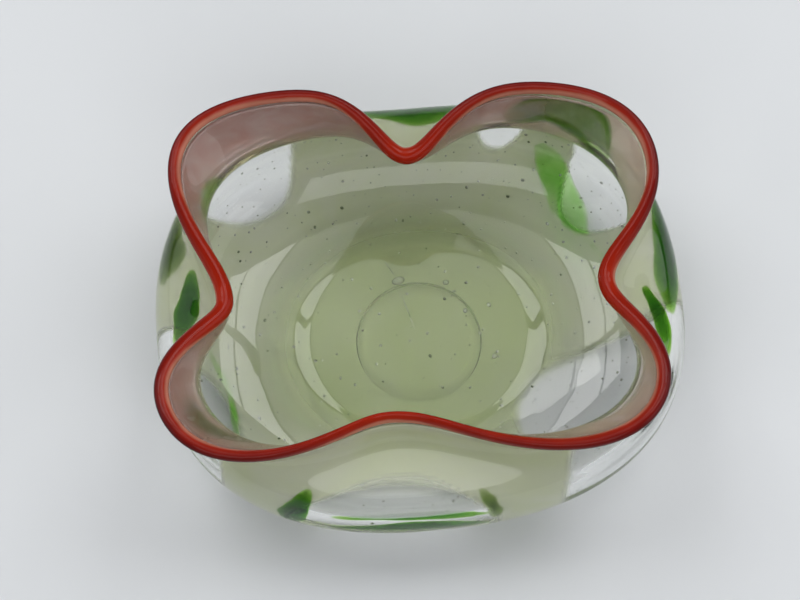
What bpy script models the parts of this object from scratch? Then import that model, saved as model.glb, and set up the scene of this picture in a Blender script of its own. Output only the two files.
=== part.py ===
"""A blown art glass bowl with four pinches in its rim, built layer by layer.

The clear casing is the outer gather of glass, with a flat foot and a polished hollow where the
pontil rod was. The green lining is the inner gather. Lens-shaped streaks of green glass lie in
pockets in the casing's inner face, and a red trail caps the rim.

Metres, +Z up. The origin is in the middle of the underside, with the bowl's length along X.
"""
import math
from dataclasses import dataclass

import bmesh
import bpy
import numpy as np

# Overall sizes
BODY_LENGTH = 0.160         # across the belly, along X
BODY_WIDTH = 0.134          # across the belly, along Y
RIM_HEIGHT = 0.060          # from the table to the glass under the red trail, at the lobes
BELLY_HEIGHT = RIM_HEIGHT * 0.4833   # where the wall is widest

# Foot and pontil mark
FOOT_LENGTH = 0.068         # flat of the foot, along X
FOOT_WIDTH = 0.060
PONTIL_DIAMETER = 0.0396
PONTIL_DEPTH = 0.0014

# The neck and the rim, as insets from the belly on each side
NECK_DROP = RIM_HEIGHT / 6  # neck below the rim
NECK_INSET_X = 0.0080
NECK_INSET_Y = 0.0100
RIM_INSET_X = 0.0033
RIM_INSET_Y = 0.0063
RIM_SHIFT_X = -0.0026       # the rim sits a little to the left of the body

# The wall between the belly and the rim
SHOULDER_INSET = 0.25       # share of the way from the belly's outline to the neck's
SHOULDER_RISE = 0.55        # share of the way from the belly's height to the neck's
NECK_PINCH = 0.60           # share of the pinches that has reached the neck
SHOULDER_LEVEL = 1.35
NECK_LEVEL = 1.68
RIM_LEVEL = 2.0

# Squareness of the outline: 2 is an ellipse, more is squarer
FOOT_SQUARENESS = 2.0
BODY_SQUARENESS = 2.45
NECK_SQUARENESS = 3.0
RIM_SQUARENESS = 3.8
BODY_TURN = math.radians(5.9)
RIM_TURN = math.radians(2.9)

# Glass thicknesses
CASING_WALL = 0.0024
CASING_BASE = 0.0060
LINING_WALL = 0.0014
LINING_BASE = 0.0030
TRAIL_RISE = 0.0040         # height of the red trail over the glass
TRAIL_WIDTH = 0.0052        # a little wider than the wall that it caps
TRAIL_WAIST = 0.42          # share of its height at which it is widest
STREAK_THICKNESS = 0.0008
STREAK_EDGE = 0.00025       # thickness left at a streak's rim

# Clearances
LAYER_GAP = 0.0003          # between pieces that lie on each other
POCKET_CLEARANCE = 0.0005   # round and under a streak in its pocket
POCKET_REACH = 0.0012       # how far the cutting goes past the casing's inner face
STREAK_SINK = 0.0002        # streaks stop this far below the casing's inner face

# Mesh resolution
COLUMNS = 76
BEND_WEIGHT = 0.020         # rim length that one radian of turning counts for
BASE_LEVELS = 5
WALL_LEVELS = 7
TRAIL_SIDES = 8
STREAK_STEPS = 11
STREAK_LANES = 4
PONTIL_RINGS = 3
SHARP_EDGE = math.radians(50)
TRAIL_UNDERCUT = math.radians(20)   # how far round under its widest place the trail's skin goes
NUDGE = 1e-3                # small step for slopes, in radians and in levels

# How a streak's width swells: how far from its ends it starts, and how full it is
STREAK_TAPER = 0.12
STREAK_FULLNESS = 0.6


@dataclass(frozen=True)
class Pinch:
    """A place where the rim was squeezed in, by its direction, depth, reach and dip."""

    angle: float            # degrees from +X
    depth: float            # inwards
    reach_before: float     # degrees, on the clockwise side
    reach_after: float      # degrees, on the other side
    dip: float              # how far the rim falls there


PINCHES = (
    Pinch(angle=2.0, depth=0.0164, reach_before=15.4, reach_after=14.2, dip=0.0065),
    Pinch(angle=91.3, depth=0.0161, reach_before=16.1, reach_after=14.5, dip=0.0075),
    Pinch(angle=185.4, depth=0.0193, reach_before=25.0, reach_after=12.0, dip=0.0065),
    Pinch(angle=261.0, depth=0.0170, reach_before=27.0, reach_after=47.0, dip=0.0035),
)


@dataclass(frozen=True)
class Streak:
    """A streak of green glass: its route over the wall, as (degrees, level), and its width.

    Level 0 is the edge of the foot, 1 the belly and 2 the rim.
    """

    name: str
    route: tuple
    width: float
    shade: str


STREAKS = (
    Streak("back_right_swirl", ((63, 1.78), (55, 1.86), (45, 1.84), (36, 1.68)), 0.0080, "dark"),
    Streak("back_right_band", ((54, 0.78), (44, 0.56), (30, 0.44), (13, 0.48)), 0.0085, "bright"),
    Streak("right_shoulder_streak", ((26, 1.18), (14, 1.20), (2, 1.26)), 0.0080, "dark"),
    Streak("right_pinch_streak", ((2, 1.52), (-5, 1.46), (-12, 1.46)), 0.0045, "dark"),
    Streak("left_lobe_sliver", ((148, 1.62), (154, 1.71), (162, 1.72)), 0.0042, "bright"),
    Streak("left_shoulder_streak", ((159, 1.36), (167, 1.34), (175, 1.26)), 0.0060, "olive"),
    Streak("left_pinch_streak", ((174, 1.56), (182, 1.50), (190, 1.40)), 0.0056, "dark"),
    Streak("left_inner_line", ((185, 0.60), (199, 0.50), (214, 0.62)), 0.0038, "bright"),
    Streak("front_left_patch", ((209, 1.82), (217, 1.84), (226, 1.74)), 0.0060, "olive"),
    Streak("front_left_streak", ((238, 0.94), (240, 1.18), (242, 1.42)), 0.0070, "bright"),
    Streak("front_base_streak", ((250, 1.02), (262, 1.07), (275, 1.05), (286, 0.98)), 0.0040, "dark"),
    Streak("front_right_streak", ((289, 1.12), (289, 1.24), (288, 1.38)), 0.0042, "olive"),
    Streak("back_shoulder_streak", ((108, 1.22), (98, 1.16), (86, 1.15), (74, 1.19)), 0.0075, "dark"),
)

GLASS_COLOURS = {
    "clear": (0.90, 0.95, 0.90),
    "pale": (0.55, 0.68, 0.40),
    "bright": (0.20, 0.55, 0.12),
    "dark": (0.03, 0.16, 0.03),
    "olive": (0.20, 0.26, 0.08),
    "red": (0.30, 0.02, 0.02),
}


def glass(name, shade, transmission):
    """A glass material of one colour."""
    material = bpy.data.materials.new(name)
    material.use_nodes = True
    shader = material.node_tree.nodes["Principled BSDF"]
    shader.inputs["Base Color"].default_value = (*GLASS_COLOURS[shade], 1.0)
    shader.inputs["Roughness"].default_value = 0.03
    shader.inputs["Metallic"].default_value = 0.0
    shader.inputs["IOR"].default_value = 1.5
    shader.inputs["Transmission Weight"].default_value = transmission
    return material


def smooth_curve(knots, values, at, start_slopes=None):
    """Values at the places in at, on a smooth curve through values at the knots."""
    knots = np.asarray(knots, float)
    values = np.asarray(values, float)
    slopes = np.gradient(values, knots, axis=0)
    if start_slopes is not None:
        slopes[0] = start_slopes
    at = np.clip(np.atleast_1d(at), knots[0], knots[-1])
    span = np.clip(np.searchsorted(knots, at, side="right") - 1, 0, len(knots) - 2)
    step = (knots[span + 1] - knots[span])[:, None]
    t = (at - knots[span])[:, None] / step
    start, end = values[span], values[span + 1]
    ease = t * t * (3 - 2 * t)
    leave = t * (1 - t) ** 2
    arrive = t * t * (t - 1)
    return start + ease * (end - start) + step * (leave * slopes[span] + arrive * slopes[span + 1])


def outline_radius(theta, half_length, half_width, squareness):
    """Distance from the middle to a rounded oblong, in the direction theta."""
    across = np.abs(np.cos(theta) / half_length) ** squareness
    along = np.abs(np.sin(theta) / half_width) ** squareness
    return (across + along) ** (-1 / squareness)


def pinch_strength(theta, pinch):
    """1 in the middle of a pinch, falling to 0 on both sides."""
    turn = theta - math.radians(pinch.angle)
    turn = (turn + math.pi) % (2 * math.pi) - math.pi
    reach = np.radians(np.where(turn < 0, pinch.reach_before, pinch.reach_after))
    return np.exp(-(turn / reach) ** 2)


def wall_stations():
    """The wall's sizes at the belly, shoulder, neck and rim.

    Each row is height, half length, half width, squareness, turn, shift along X, and the share
    of the pinches that has reached it.
    """
    half_length, half_width = BODY_LENGTH / 2, BODY_WIDTH / 2
    neck_height = RIM_HEIGHT - NECK_DROP
    neck = np.array([neck_height, half_length - NECK_INSET_X, half_width - NECK_INSET_Y,
                     NECK_SQUARENESS, (BODY_TURN + RIM_TURN) / 2, RIM_SHIFT_X / 2, NECK_PINCH])
    belly = np.array([BELLY_HEIGHT, half_length, half_width, BODY_SQUARENESS, BODY_TURN, 0.0, 0.0])
    shoulder = belly + (neck - belly) * SHOULDER_INSET
    shoulder[0] = BELLY_HEIGHT + (neck_height - BELLY_HEIGHT) * SHOULDER_RISE
    rim = np.array([RIM_HEIGHT, half_length - RIM_INSET_X, half_width - RIM_INSET_Y,
                    RIM_SQUARENESS, RIM_TURN, RIM_SHIFT_X, 1.0])
    return np.stack([belly, shoulder, neck, rim])


def upper_ring(theta, level):
    """Points of the bowl's outside between the belly (level 1) and the rim (level 2)."""
    stations = wall_stations()
    start = np.zeros(stations.shape[1])
    start[0] = (stations[1, 0] - stations[0, 0]) / (SHOULDER_LEVEL - 1)
    knots = (1.0, SHOULDER_LEVEL, NECK_LEVEL, RIM_LEVEL)
    sizes = smooth_curve(knots, stations, level, start)[0]
    height, half_length, half_width, squareness, turn, shift, share = sizes
    radius = outline_radius(theta - turn, half_length, half_width, squareness)
    z = np.full_like(theta, height)
    for pinch in PINCHES:
        strength = pinch_strength(theta, pinch)
        radius -= pinch.depth * share * strength
        z -= pinch.dip * share ** 2 * strength
    return np.stack([radius * np.cos(theta) + shift, radius * np.sin(theta), z], axis=-1)


def lower_ring(theta, level):
    """Points of the bowl's outside between the foot's edge (level 0) and the belly (level 1)."""
    swing = level * math.pi / 2
    squareness = FOOT_SQUARENESS + (BODY_SQUARENESS - FOOT_SQUARENESS) * level
    foot = outline_radius(theta - BODY_TURN, FOOT_LENGTH / 2, FOOT_WIDTH / 2, squareness)
    belly = outline_radius(theta - BODY_TURN, BODY_LENGTH / 2, BODY_WIDTH / 2, squareness)
    radius = foot + (belly - foot) * math.sin(swing)
    z = np.full_like(theta, BELLY_HEIGHT * (1 - math.cos(swing)))
    return np.stack([radius * np.cos(theta), radius * np.sin(theta), z], axis=-1)


def column_angles(count):
    """Directions that space the columns along the rim, closer together where it bends."""
    fine = np.linspace(0, 2 * math.pi, 1441)
    steps = np.diff(upper_ring(fine, RIM_LEVEL)[:, :2], axis=0)
    heading = np.unwrap(np.arctan2(steps[:, 1], steps[:, 0]))
    turning = np.abs(np.gradient(heading))
    along = np.concatenate([[0], np.cumsum(np.hypot(*steps.T) + BEND_WEIGHT * turning)])
    return np.interp(np.arange(count) / count * along[-1], along, fine)


class Wall:
    """The bowl's outside as a grid of points and outward normals, and depths under it."""

    def __init__(self):
        self.theta = column_angles(COLUMNS)
        lower = np.linspace(0, 1, BASE_LEVELS, endpoint=False)
        upper = np.linspace(1, RIM_LEVEL, WALL_LEVELS + 1)
        self.levels = np.concatenate([lower, upper])
        rings = [lower_ring(self.theta, level) for level in lower]
        rings += [upper_ring(self.theta, level) for level in upper]
        self.points = np.stack(rings)
        round_step = np.roll(self.points, -1, axis=1) - np.roll(self.points, 1, axis=1)
        self.rise = np.gradient(self.points, self.levels, axis=0)
        normals = np.cross(round_step, self.rise)
        normals[0] = (0, 0, -1)
        self.normals = normals / np.linalg.norm(normals, axis=2, keepdims=True)

    def depth(self, wall, base):
        """A thickness at every level, from the base's to the wall's."""
        share = np.clip(1 - self.levels, 0, 1) ** 2
        return wall + (base - wall) * share

    def inside(self, depths):
        """The rings of points that lie the given depths under the outside."""
        return self.points - self.normals * depths[:, None, None]

    def at(self, theta, level, depth):
        """Points under the outside at directions theta, levels and depths, between the columns."""
        angles = np.append(self.theta, self.theta[0] + 2 * math.pi)
        turn = (theta - self.theta[0]) % (2 * math.pi) + self.theta[0]
        column = np.clip(np.searchsorted(angles, turn, side="right") - 1, 0, COLUMNS - 1)
        u = ((turn - angles[column]) / (angles[column + 1] - angles[column]))[..., None]
        row = np.clip(np.searchsorted(self.levels, level, side="right") - 1, 0, len(self.levels) - 2)
        v = ((level - self.levels[row]) / (self.levels[row + 1] - self.levels[row]))[..., None]
        following = (column + 1) % COLUMNS
        casing = self.depth(CASING_WALL, CASING_BASE)
        face = self.inside(casing)
        point = self.between(face, row, column, following, u, v)
        normal = self.between(self.normals, row, column, following, u, v)
        return point + normal * (np.interp(level, self.levels, casing) - depth)[..., None]

    @staticmethod
    def between(grid, row, column, following, u, v):
        """A value of the grid in one of a cell's two flat triangles, as bridge splits it."""
        start, side = grid[row, column], grid[row, following]
        above, corner = grid[row + 1, column], grid[row + 1, following]
        low = start + u * (side - start) + v * (corner - side)
        high = start + v * (above - start) + u * (corner - above)
        return np.where(u >= v, low, high)


def new_object(name, bm, material):
    """Turn a bmesh into a smooth-shaded object with its faces pointing out."""
    bmesh.ops.recalc_face_normals(bm, faces=bm.faces[:])
    mesh = bpy.data.meshes.new(name)
    bm.to_mesh(mesh)
    bm.free()
    mesh.shade_smooth()
    mesh.set_sharp_from_angle(angle=SHARP_EDGE)
    if material is not None:
        mesh.materials.append(material)
    item = bpy.data.objects.new(name, mesh)
    bpy.context.scene.collection.objects.link(item)
    return item


def bridge(bm, lower, upper):
    """Join two closed rings of vertices with triangles, every cell split the same way."""
    count = len(lower)
    for i in range(count):
        j = (i + 1) % count
        bm.faces.new((lower[i], lower[j], upper[j]))
        bm.faces.new((lower[i], upper[j], upper[i]))


def sheet(bm, rings):
    """Join rings of points from the bottom to the top, and return the rings of vertices."""
    loops = [[bm.verts.new(point) for point in ring] for ring in rings]
    for lower, upper in zip(loops, loops[1:]):
        bridge(bm, lower, upper)
    return loops


def close_at(bm, ring, point):
    """Close a ring of vertices to one point."""
    pole = bm.verts.new(point)
    count = len(ring)
    for i in range(count):
        bm.faces.new((ring[i], ring[(i + 1) % count], pole))


def shell(name, outer_rings, inner_rings, outer_pole, inner_pole, material):
    """A closed cup with an outer and an inner face, each given from the bottom to the rim."""
    bm = bmesh.new()
    outer = sheet(bm, outer_rings)
    inner = sheet(bm, inner_rings)
    bridge(bm, outer[-1], inner[-1])
    close_at(bm, outer[0], outer_pole)
    close_at(bm, inner[0], inner_pole)
    return new_object(name, bm, material)


def pontil_rings(wall):
    """Rings of the polished hollow under the foot, from near its middle to its edge."""
    rings = []
    for share in np.linspace(1 / PONTIL_RINGS, 1, PONTIL_RINGS):
        radius = PONTIL_DIAMETER / 2 * share
        z = PONTIL_DEPTH * (1 - share ** 2)
        ring = [(radius * math.cos(a), radius * math.sin(a), z) for a in wall.theta]
        rings.append(np.array(ring))
    return rings


def clear_casing(wall):
    """The outer gather: foot, pontil hollow, outside wall, and the face that the lining meets."""
    inner = wall.inside(wall.depth(CASING_WALL, CASING_BASE))
    outer = pontil_rings(wall) + list(wall.points)
    return shell("clear_casing", outer, inner, (0, 0, PONTIL_DEPTH), (0, 0, CASING_BASE),
                 glass("clear_glass", "clear", 0.9))


def green_lining(wall):
    """The inner gather of pale green glass, one clearance inside the casing."""
    casing = wall.depth(CASING_WALL, CASING_BASE)
    lining = wall.depth(LINING_WALL, LINING_BASE)
    outer = wall.inside(casing + LAYER_GAP)
    inner = wall.inside(casing + LAYER_GAP + lining)
    floor = CASING_BASE + LAYER_GAP
    return shell("green_lining", outer, inner, (0, 0, floor), (0, 0, floor + LINING_BASE),
                 glass("pale_green_glass", "pale", 0.8))


def lip_wrap(wall):
    """The red trail on the rim: a fat round section that caps both layers of glass."""
    full_wall = CASING_WALL + LAYER_GAP + LINING_WALL
    normal = wall.normals[-1]
    upward = wall.rise[-1] / np.linalg.norm(wall.rise[-1], axis=1, keepdims=True)
    edge = wall.points[-1] + upward * LAYER_GAP
    underside = (0.0, CASING_WALL, CASING_WALL + LAYER_GAP, full_wall)
    rings = [edge - normal * depth for depth in underside]
    waist = TRAIL_RISE * TRAIL_WAIST
    for angle in np.linspace(math.pi + TRAIL_UNDERCUT, -TRAIL_UNDERCUT, TRAIL_SIDES):
        depth = full_wall / 2 - TRAIL_WIDTH / 2 * math.cos(angle)
        height = waist + (TRAIL_RISE - waist) * math.sin(angle)
        rings.append(edge - normal * depth + upward * height)
    bm = bmesh.new()
    loops = sheet(bm, rings)
    bridge(bm, loops[-1], loops[0])
    return new_object("lip_wrap", bm, glass("red_glass", "red", 0.5))


def streak_grid(wall, streak, margin):
    """Directions and levels of a streak's surface: steps along its route, lanes across it."""
    route = np.array(streak.route, float)
    route[:, 0] = np.radians(route[:, 0])
    along = smooth_curve(np.arange(len(route)), route,
                         np.linspace(0, len(route) - 1, STREAK_STEPS))
    on_face = np.full(STREAK_STEPS, CASING_WALL)
    here = wall.at(along[:, 0], along[:, 1], on_face)
    per_turn = (wall.at(along[:, 0] + NUDGE, along[:, 1], on_face) - here) / NUDGE
    per_level = (here - wall.at(along[:, 0], along[:, 1] - NUDGE, on_face)) / NUDGE
    ahead = np.gradient(here, axis=0)
    side = np.cross(np.cross(per_turn, per_level), ahead)
    side /= np.linalg.norm(side, axis=1, keepdims=True)
    swell = np.sin(np.linspace(STREAK_TAPER, 1 - STREAK_TAPER, STREAK_STEPS) * math.pi)
    swell **= STREAK_FULLNESS
    half_width = streak.width / 2 * swell + margin
    ends = {0: -margin, STREAK_STEPS - 1: margin}
    grid = np.empty((STREAK_STEPS, STREAK_LANES + 1, 2))
    for step in range(STREAK_STEPS):
        axes = np.stack([per_turn[step], per_level[step]], axis=1)
        sideways = np.linalg.lstsq(axes, side[step] * half_width[step], rcond=None)[0]
        onward = np.linalg.lstsq(axes, ahead[step] / np.linalg.norm(ahead[step]), rcond=None)[0]
        middle = along[step] + onward * ends.get(step, 0.0)
        for lane, across in enumerate(np.linspace(-1, 1, STREAK_LANES + 1)):
            grid[step, lane] = middle + sideways * across
    return grid


def lens(name, wall, streak, margin, top, material):
    """A closed lens over a streak's grid, domed into the casing.

    The top is a depth at the wall, and the margin is added all round and underneath.
    """
    grid = streak_grid(wall, streak, margin)
    theta, level = grid[..., 0], grid[..., 1]
    lanes = np.linspace(-1, 1, STREAK_LANES + 1)
    steps = np.linspace(-1, 1, STREAK_STEPS)
    dome = np.sqrt(np.clip((1 - lanes[None, :] ** 2) * (1 - steps[:, None] ** 4), 0, 1))
    swell = np.maximum(STREAK_THICKNESS * dome, STREAK_EDGE)
    face = np.interp(level, wall.levels, wall.depth(CASING_WALL, CASING_BASE))
    upper_face = wall.at(theta, level, face - CASING_WALL + top)
    lower_face = wall.at(theta, level, face - STREAK_SINK - swell - margin)
    bm = bmesh.new()
    upper = [[bm.verts.new(point) for point in row] for row in upper_face]
    under = [[bm.verts.new(point) for point in row] for row in lower_face]
    for i in range(STREAK_STEPS - 1):
        for j in range(STREAK_LANES):
            bm.faces.new((upper[i][j], upper[i][j + 1], upper[i + 1][j + 1], upper[i + 1][j]))
            bm.faces.new((under[i][j], under[i + 1][j], under[i + 1][j + 1], under[i][j + 1]))
    border = [(i, 0) for i in range(STREAK_STEPS)]
    border += [(STREAK_STEPS - 1, j) for j in range(1, STREAK_LANES + 1)]
    border += [(i, STREAK_LANES) for i in range(STREAK_STEPS - 2, -1, -1)]
    border += [(0, j) for j in range(STREAK_LANES - 1, 0, -1)]
    bridge(bm, [under[i][j] for i, j in border], [upper[i][j] for i, j in border])
    return new_object(name, bm, material)


def green_streak(wall, streak):
    """One streak of green glass, just under the casing's inner face."""
    material = glass(streak.name + "_glass", streak.shade, 0.6)
    return lens(streak.name, wall, streak, 0.0, CASING_WALL - STREAK_SINK, material)


def pocket_cutter(wall, streak):
    """The space that a streak takes in the casing, open towards the lining."""
    past_face = CASING_WALL + POCKET_REACH
    cutter = lens(streak.name + "_pocket", wall, streak, POCKET_CLEARANCE, past_face, None)
    cutter.hide_render = True
    cutter.display_type = "WIRE"
    return cutter


def cut_pocket(casing, cutter):
    """Take a pocket out of the casing."""
    cut = casing.modifiers.new(cutter.name, "BOOLEAN")
    cut.operation = "DIFFERENCE"
    cut.solver = "EXACT"
    cut.object = cutter


def build_bowl():
    """Build every layer of the bowl."""
    for item in list(bpy.data.objects):
        bpy.data.objects.remove(item)
    wall = Wall()
    casing = clear_casing(wall)
    green_lining(wall)
    lip_wrap(wall)
    for streak in STREAKS:
        green_streak(wall, streak)
        cut_pocket(casing, pocket_cutter(wall, streak))


build_bowl()
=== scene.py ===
"""Looks of a blown art glass bowl with four pinches in its rim, on a plain pale table.

The bowl is one body of clear glass with colour inside it: a thin gather of milky pale green glass
with clear windows in it, streaks of stronger green, and seeds of air. A red trail caps its lip.
"""
from __future__ import annotations

import logging
import math
from dataclasses import dataclass, field
from enum import Enum

import bpy
import numpy as np
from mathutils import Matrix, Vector


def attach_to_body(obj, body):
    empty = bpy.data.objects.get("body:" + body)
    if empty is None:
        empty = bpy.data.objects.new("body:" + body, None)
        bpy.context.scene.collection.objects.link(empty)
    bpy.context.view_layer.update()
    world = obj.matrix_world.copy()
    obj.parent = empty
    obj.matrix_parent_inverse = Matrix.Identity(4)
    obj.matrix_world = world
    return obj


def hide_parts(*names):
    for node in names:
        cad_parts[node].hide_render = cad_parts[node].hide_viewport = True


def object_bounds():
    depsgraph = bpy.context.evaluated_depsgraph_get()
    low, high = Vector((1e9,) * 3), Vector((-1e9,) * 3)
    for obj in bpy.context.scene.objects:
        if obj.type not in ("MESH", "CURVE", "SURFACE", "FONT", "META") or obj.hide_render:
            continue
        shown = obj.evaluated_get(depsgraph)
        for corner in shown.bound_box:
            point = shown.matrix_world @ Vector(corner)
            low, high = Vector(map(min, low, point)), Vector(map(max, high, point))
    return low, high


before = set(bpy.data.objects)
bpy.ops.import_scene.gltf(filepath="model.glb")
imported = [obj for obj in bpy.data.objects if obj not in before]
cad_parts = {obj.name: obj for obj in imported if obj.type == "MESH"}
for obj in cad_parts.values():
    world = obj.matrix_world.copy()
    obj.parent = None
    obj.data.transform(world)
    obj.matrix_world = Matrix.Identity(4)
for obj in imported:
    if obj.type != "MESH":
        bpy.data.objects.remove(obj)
CAD_LOW, CAD_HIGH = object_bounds()

LOG = logging.getLogger("bowl")
ROOT = "root"
FULL_TURN = 2 * math.pi

# Steps in radians and levels that slopes are measured over, and a length below which none counts
FINE_STEP = 1e-4
COARSE_STEP = 1e-3
TINY = 1e-15

WHITE = (1.0, 1.0, 1.0)

# A Mix node's sockets for colours, which share their names with those for numbers
MIX_FACTOR, MIX_FIRST, MIX_SECOND, MIX_RESULT = 0, 6, 7, 2


class Slot(Enum):
    """The record's material slots."""

    CLEAR = "clear_glass"
    PALE = "pale_green_glass"
    BRIGHT = "bright_green_glass"
    DARK = "dark_green_glass"
    OLIVE = "olive_green_glass"
    RED = "red_glass"


# ------------------------------------------------------------------------------------------------
# Finishes


@dataclass(frozen=True)
class Tint:
    """Light that coloured glass takes out, per metre, in red, green and blue."""

    red: float
    green: float
    blue: float

    @property
    def density(self) -> float:
        """The density that Volume Absorption takes, a little over the strongest of the three."""
        return max(self.red, self.green, self.blue) * 1.02

    @property
    def colour(self) -> tuple[float, float, float, float]:
        """The colour that Volume Absorption takes with that density."""
        parts = (self.red, self.green, self.blue)
        return (*[1 - part / self.density for part in parts], 1.0)


class NodeBench:
    """Short ways to lay out one material's nodes."""

    def __init__(self, name: str) -> None:
        """Start an empty material.

        Args:
            name: The material's name.
        """
        self.material = bpy.data.materials.new(name)
        self.material.use_nodes = True
        self.tree = self.material.node_tree
        self.tree.nodes.clear()
        self.output = self.tree.nodes.new("ShaderNodeOutputMaterial")

    def node(self, kind: str, **settings: object) -> bpy.types.Node:
        """Add a node.

        Args:
            kind: The node's type name.
            settings: Attributes to set on it.

        Returns:
            The new node.
        """
        made = self.tree.nodes.new(kind)
        for key, value in settings.items():
            setattr(made, key, value)
        return made

    def link(self, source: bpy.types.NodeSocket, target: bpy.types.NodeSocket) -> None:
        """Join two sockets."""
        self.tree.links.new(source, target)

    def place(self, scale: tuple[float, float, float] = (1.0, 1.0, 1.0)) -> bpy.types.NodeSocket:
        """The place on the object, stretched by a scale.

        Args:
            scale: How much finer the pattern gets on each axis.

        Returns:
            The socket that carries the coordinates.
        """
        source = self.node("ShaderNodeTexCoord")
        mapping = self.node("ShaderNodeMapping")
        mapping.inputs["Scale"].default_value = scale
        self.link(source.outputs["Object"], mapping.inputs["Vector"])
        return mapping.outputs["Vector"]

    def noise(self, place: bpy.types.NodeSocket, scale: float, detail: float = 3.0,
              distortion: float = 0.0) -> bpy.types.NodeSocket:
        """Soft noise.

        Args:
            place: The coordinates.
            scale: Cells per metre.
            detail: Octaves.
            distortion: How far the noise is pulled about.

        Returns:
            The socket that carries the noise, from 0 to 1.
        """
        made = self.node("ShaderNodeTexNoise")
        made.inputs["Scale"].default_value = scale
        made.inputs["Detail"].default_value = detail
        made.inputs["Distortion"].default_value = distortion
        self.link(place, made.inputs["Vector"])
        return made.outputs["Fac"]

    def ramp(self, value: bpy.types.NodeSocket,
             stops: tuple[tuple[float, tuple[float, float, float]], ...]) -> bpy.types.NodeSocket:
        """A colour ramp.

        Args:
            value: The socket to look up.
            stops: Places from 0 to 1 and their colours.

        Returns:
            The socket that carries the colour.
        """
        made = self.node("ShaderNodeValToRGB")
        elements = made.color_ramp.elements
        for index, (at, colour) in enumerate(stops):
            element = elements[index] if index < 2 else elements.new(at)
            element.position = at
            element.color = (*colour, 1.0)
        self.link(value, made.inputs["Fac"])
        return made.outputs["Color"]

    def span(self, value: bpy.types.NodeSocket, low: float, high: float) -> bpy.types.NodeSocket:
        """Stretch a value from 0..1 to low..high.

        Args:
            value: The socket to stretch.
            low: What 0 becomes.
            high: What 1 becomes.

        Returns:
            The socket that carries the result.
        """
        made = self.node("ShaderNodeMapRange")
        made.inputs["To Min"].default_value = low
        made.inputs["To Max"].default_value = high
        self.link(value, made.inputs["Value"])
        return made.outputs["Result"]

    def bump(self, height: bpy.types.NodeSocket, strength: float,
             distance: float) -> bpy.types.NodeSocket:
        """A bump from a height.

        Args:
            height: The socket that carries the height.
            strength: From 0 to 1.
            distance: The height's full size in metres.

        Returns:
            The socket that carries the normal.
        """
        made = self.node("ShaderNodeBump")
        made.inputs["Strength"].default_value = strength
        made.inputs["Distance"].default_value = distance
        self.link(height, made.inputs["Height"])
        return made.outputs["Normal"]

    def attribute(self, name: str) -> bpy.types.NodeSocket:
        """A value that the mesh holds at each point."""
        made = self.node("ShaderNodeAttribute", attribute_name=name)
        return made.outputs["Fac"]

    def add(self, first: bpy.types.NodeSocket,
            second: bpy.types.NodeSocket) -> bpy.types.NodeSocket:
        """The sum of two values."""
        made = self.node("ShaderNodeMath", operation="ADD")
        self.link(first, made.inputs[0])
        self.link(second, made.inputs[1])
        return made.outputs["Value"]

    def mix(self, share: bpy.types.NodeSocket, first: bpy.types.NodeSocket,
            second: bpy.types.NodeSocket) -> bpy.types.NodeSocket:
        """A mix of two colours.

        Args:
            share: 0 gives the first colour and 1 the second.
            first: The first colour.
            second: The second colour.

        Returns:
            The socket that carries the mixed colour.
        """
        made = self.node("ShaderNodeMix", data_type="RGBA")
        self.link(share, made.inputs[MIX_FACTOR])
        self.link(first, made.inputs[MIX_FIRST])
        self.link(second, made.inputs[MIX_SECOND])
        return made.outputs[MIX_RESULT]

    def fade_in(self, share: bpy.types.NodeSocket,
                colour: bpy.types.NodeSocket) -> bpy.types.NodeSocket:
        """White where the share is 0 and the colour where it is 1.

        Args:
            share: How much of the colour there is.
            colour: The colour.

        Returns:
            The socket that carries the faded colour.
        """
        made = self.node("ShaderNodeMix", data_type="RGBA")
        made.inputs[MIX_FIRST].default_value = (*WHITE, 1.0)
        self.link(share, made.inputs[MIX_FACTOR])
        self.link(colour, made.inputs[MIX_SECOND])
        return made.outputs[MIX_RESULT]

    def times(self, first: bpy.types.NodeSocket,
              second: bpy.types.NodeSocket) -> bpy.types.NodeSocket:
        """The product of two colours."""
        made = self.node("ShaderNodeMix", data_type="RGBA", blend_type="MULTIPLY")
        made.inputs[MIX_FACTOR].default_value = 1.0
        self.link(first, made.inputs[MIX_FIRST])
        self.link(second, made.inputs[MIX_SECOND])
        return made.outputs[MIX_RESULT]

    def absorb(self, tint: Tint) -> None:
        """Fill the material's inside with coloured glass.

        Args:
            tint: What the glass takes out of the light.
        """
        volume = self.node("ShaderNodeVolumeAbsorption")
        volume.inputs["Color"].default_value = tint.colour
        volume.inputs["Density"].default_value = tint.density
        self.link(volume.outputs["Volume"], self.output.inputs["Volume"])


@dataclass(frozen=True)
class SurfaceGlass:
    """The bowl's own glass: clear, very smooth, with the faint waves of hand work."""

    name: str
    tint: Tint
    refraction: float = 1.49
    wave_size: float = 0.022
    wave_height: float = 0.00022
    smear_cells: float = 90.0
    roughest: float = 0.018

    def material(self) -> bpy.types.Material:
        """Build the material.

        Returns:
            The glass.
        """
        bench = NodeBench(self.name)
        shader = bench.node("ShaderNodeBsdfPrincipled")
        shader.inputs["Base Color"].default_value = (*WHITE, 1.0)
        shader.inputs["Transmission Weight"].default_value = 1.0
        shader.inputs["IOR"].default_value = self.refraction
        place = bench.place()
        waves = bench.noise(place, 1 / self.wave_size, detail=1.0, distortion=0.6)
        smears = bench.noise(bench.place((1.0, 1.0, 2.5)), self.smear_cells, detail=4.0)
        bench.link(bench.span(smears, 0.0, self.roughest), shader.inputs["Roughness"])
        bench.link(bench.bump(waves, 1.0, self.wave_height), shader.inputs["Normal"])
        bench.absorb(self.tint)
        bench.link(shader.outputs["BSDF"], bench.output.inputs["Surface"])
        return bench.material


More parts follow.
